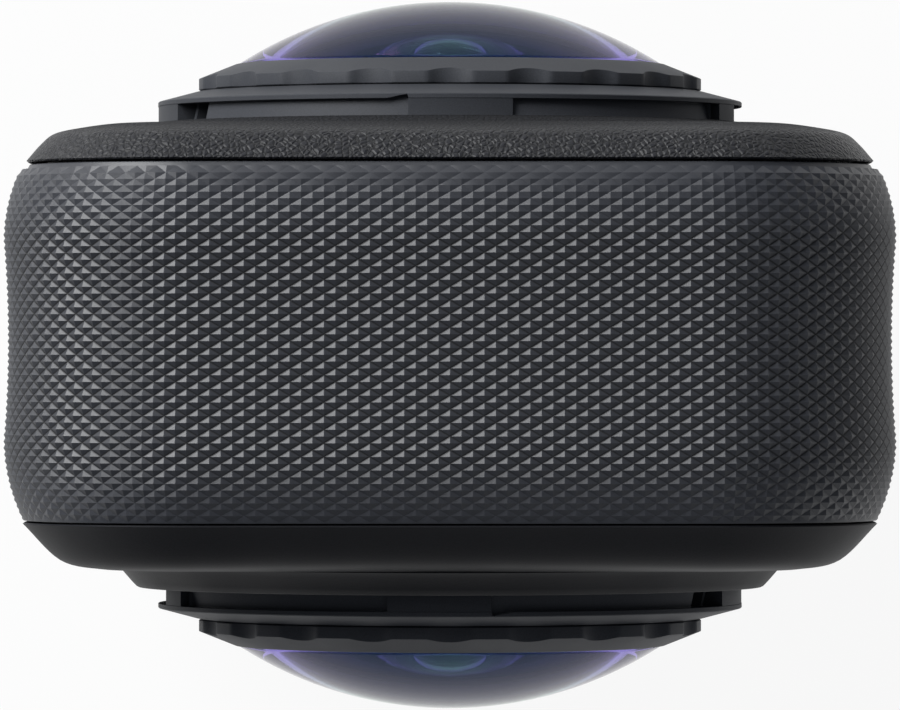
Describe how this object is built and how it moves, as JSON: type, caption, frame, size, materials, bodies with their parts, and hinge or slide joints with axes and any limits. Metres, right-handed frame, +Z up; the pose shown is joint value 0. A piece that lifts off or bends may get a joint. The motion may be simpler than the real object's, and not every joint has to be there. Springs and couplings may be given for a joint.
{
  "type": "360 degree camera",
  "caption": "Pocket 360 degree camera: textured grip band, leather-grain front cover, fisheye lens on each face, touchscreen, battery bay and tripod socket.",
  "frame": {"origin": "middle of the base, on the surface that the camera stands on", "axes": "+Z up along the body towards the lenses, +Y out of the front lens, -Y out of the screen side, +X to the right seen from the screen side"},
  "size_m": [0.046, 0.0376, 0.124],
  "materials": {
    "textured_grip": "matt moulded diamond texture",
    "leather_grain": "moulded leather grain",
    "satin_shell": "fine satin",
    "lens_plastic": "fine matt spark texture",
    "coated_glass": "polished, coated",
    "inner_glass": "polished, coated",
    "barrel_black": "dull black",
    "seal_rubber": "soft matt",
    "screen_glass": "polished black glass",
    "button_plastic": "satin",
    "battery_case": "satin",
    "socket_brass": "turned",
    "screw_steel": "brushed",
    "chassis_alloy": "die cast",
    "board_green": "solder mask",
    "chip_black": "moulded",
    "flex_amber": "polyimide film",
    "pad_grey": "soft matt",
    "light_guide": "clear diffuser"
  },
  "bodies": {
    "body": {"grip_frame": "textured_grip", "front_cover": "leather_grain", "rear_cover": "satin_shell", "rear_lens_base": "satin_shell", "base_plate": "satin_shell", "base_screws": "screw_steel", "tripod_socket": "socket_brass", "front_bayonet_ring": "lens_plastic", "rear_bayonet_ring": "lens_plastic", "front_lens_seal": "seal_rubber", "rear_lens_seal": "seal_rubber", "front_lens_barrel": "barrel_black", "rear_lens_barrel": "barrel_black", "front_second_element": "inner_glass", "rear_second_element": "inner_glass", "front_lens_group": "inner_glass", "rear_lens_group": "inner_glass", "front_image_sensor": "chip_black", "rear_image_sensor": "chip_black", "front_sensor_board": "board_green", "rear_sensor_board": "board_green", "front_sensor_flex": "flex_amber", "rear_sensor_flex": "flex_amber", "lens_screws": "screw_steel", "touchscreen_glass": "screen_glass", "screen_gasket": "seal_rubber", "display_panel": "chip_black", "display_flex": "flex_amber", "button_board": "board_green", "side_switch_board": "board_green", "battery_contacts": "socket_brass", "usb_door_pin": "screw_steel", "usb_receptacle": "screw_steel", "sd_slot": "screw_steel", "chassis": "chassis_alloy", "chassis_screws": "screw_steel", "main_board": "board_green", "board_screws": "screw_steel", "processor": "chip_black", "thermal_pad": "pad_grey", "heat_spreader": "chassis_alloy", "audio_parts": "chip_black", "antenna": "flex_amber", "status_lights": "light_guide"},
    "front_lens_unit": {"front_lens_ring": "lens_plastic", "front_lens_dome": "coated_glass"},
    "rear_lens_unit": {"rear_lens_ring": "lens_plastic", "rear_lens_dome": "coated_glass"},
    "shutter": {"shutter_button": "button_plastic"},
    "view": {"view_button": "button_plastic"},
    "power": {"power_button": "button_plastic"},
    "quick": {"quick_button": "button_plastic"},
    "battery": {"battery_cover": "textured_grip", "battery_pack": "battery_case", "battery_seal": "seal_rubber"},
    "latch_upper": {"battery_latch_upper": "button_plastic"},
    "latch_lower": {"battery_latch_lower": "button_plastic"},
    "connector_door": {"usb_door": "textured_grip", "usb_door_seal": "seal_rubber"},
    "memory_card": {"sd_card": "chip_black"}
  },
  "joints": [
    {"name": "front_lens_turn", "type": "hinge", "parent": "body", "child": "front_lens_unit", "pos_m": [0, 0.0146, 0.101], "axis": [0, 1, 0], "range_deg": [0, 40]},
    {"name": "rear_lens_turn", "type": "hinge", "parent": "body", "child": "rear_lens_unit", "pos_m": [0, -0.0146, 0.101], "axis": [0, -1, 0], "range_deg": [0, 40]},
    {"name": "shutter_press", "type": "slide", "parent": "body", "child": "shutter", "axis": [0, 1, 0], "range_m": [0, 0.0005], "stiffness_N_per_m": 3000},
    {"name": "view_press", "type": "slide", "parent": "body", "child": "view", "axis": [0, 1, 0], "range_m": [0, 0.0005], "stiffness_N_per_m": 3000},
    {"name": "power_press", "type": "slide", "parent": "body", "child": "power", "axis": [-1, 0, 0], "range_m": [0, 0.0004], "stiffness_N_per_m": 3000},
    {"name": "quick_press", "type": "slide", "parent": "body", "child": "quick", "axis": [-1, 0, 0], "range_m": [0, 0.0004], "stiffness_N_per_m": 3000},
    {"name": "battery_slide", "type": "slide", "parent": "body", "child": "battery", "axis": [-1, 0, 0], "range_m": [0, 0.036]},
    {"name": "latch_upper_slide", "type": "slide", "parent": "battery", "child": "latch_upper", "axis": [0, 0, -1], "range_m": [0, 0.002], "stiffness_N_per_m": 800},
    {"name": "latch_lower_slide", "type": "slide", "parent": "battery", "child": "latch_lower", "axis": [0, 0, 1], "range_m": [0, 0.002], "stiffness_N_per_m": 800},
    {"name": "connector_door_swing", "type": "hinge", "parent": "body", "child": "connector_door", "pos_m": [0.0219, 0.0005, 0.04278], "axis": [0, -1, 0], "range_deg": [0, 90]},
    {"name": "memory_card_push", "type": "slide", "parent": "body", "child": "memory_card", "axis": [1, 0, 0], "range_m": [0, 0.0008], "stiffness_N_per_m": 1500}
  ]
}
